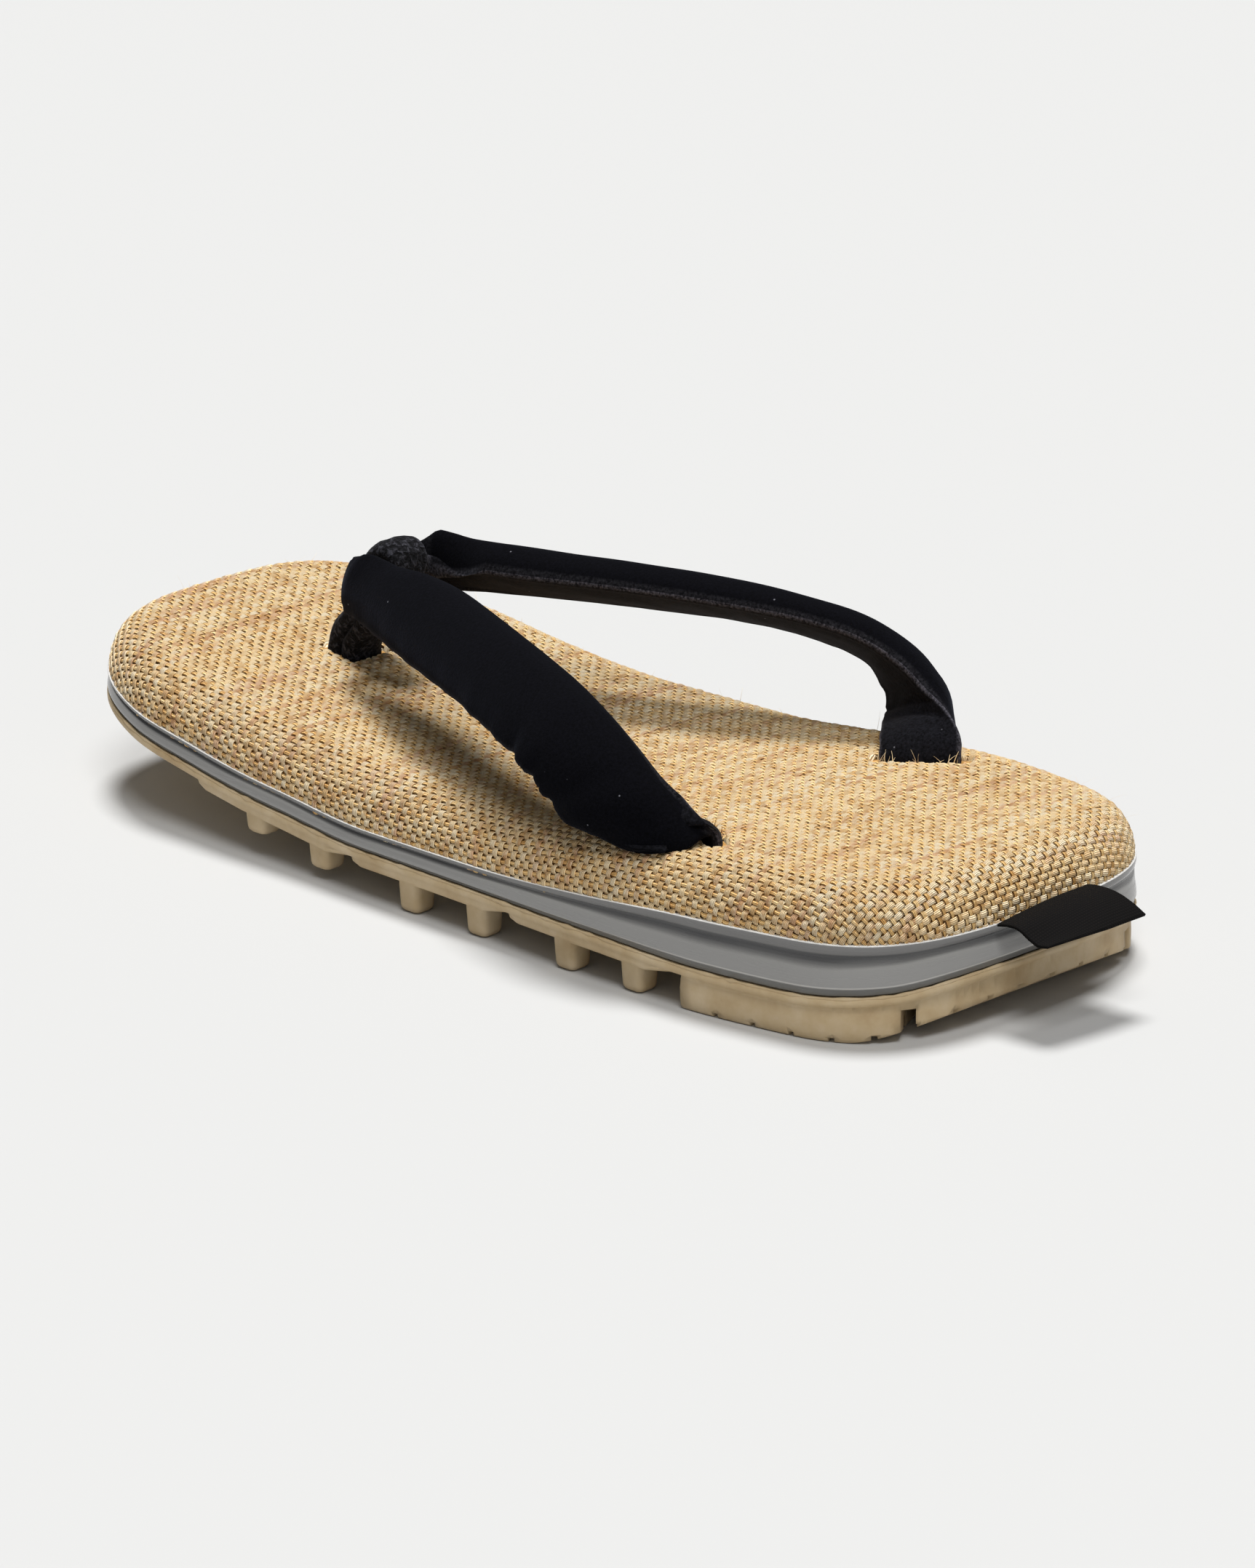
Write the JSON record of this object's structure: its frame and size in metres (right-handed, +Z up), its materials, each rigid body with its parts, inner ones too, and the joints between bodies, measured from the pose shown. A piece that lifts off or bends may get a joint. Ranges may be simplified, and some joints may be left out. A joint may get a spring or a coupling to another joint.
{
  "type": "setta sandal",
  "caption": "Padded thong sandal with a woven straw footbed, clear tray midsole, gum rubber lug sole, thick black velvet V strap and a toe loop.",
  "frame": {"origin": "on the floor under the middle of the whole length, heel label included", "axes": "+Y to the toe, +X to the wearer's right, +Z up"},
  "size_m": [0.1148, 0.2868, 0.0654],
  "materials": {
    "outsole": "smooth gum rubber, satin",
    "midsole": "clear smoke grey moulded plastic",
    "footbed": "plain weave of flat straw coloured strands over foam",
    "strap": "black velvet over padding, brushed black lining",
    "toe_loop": "black crinkled cloth over padding",
    "heel_tag": "woven ribbon, bare"
  },
  "bodies": {
    "root": {"outsole": "outsole", "midsole": "midsole", "footbed": "footbed", "strap": "strap", "toe_loop": "toe_loop", "heel_tag": "heel_tag"}
  },
  "joints": []
}
